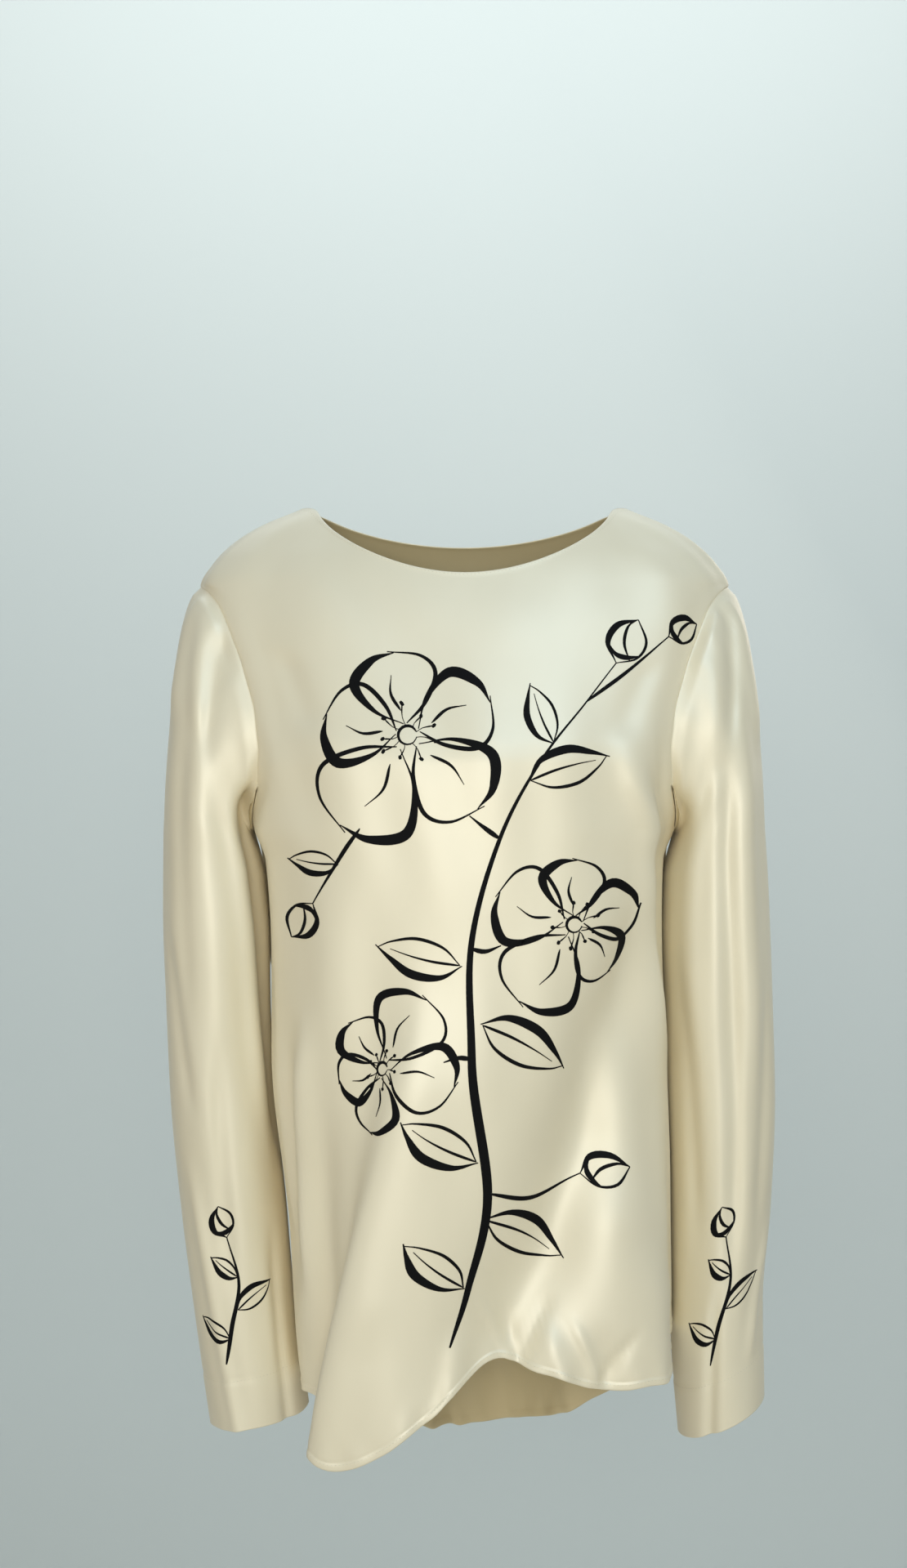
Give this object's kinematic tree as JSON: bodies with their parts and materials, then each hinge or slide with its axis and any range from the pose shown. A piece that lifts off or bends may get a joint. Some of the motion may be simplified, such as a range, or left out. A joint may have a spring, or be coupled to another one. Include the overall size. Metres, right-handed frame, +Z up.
{
  "type": "blouse",
  "caption": "Long-sleeved pullover satin blouse in its hollow worn form, with a wide neckline, set-in sleeves and a curved shirt-tail hem.",
  "frame": {"origin": "middle of the neck opening, level with the neck ends of the shoulder seams", "axes": "+Z up along the garment's length, -Y towards the front, +X towards the wearer's left"},
  "size_m": [0.458, 0.2739, 0.727],
  "materials": {
    "satin": "satin"
  },
  "bodies": {
    "root": {"front": "satin", "back": "satin", "sleeve_left": "satin", "sleeve_right": "satin"}
  },
  "joints": []
}
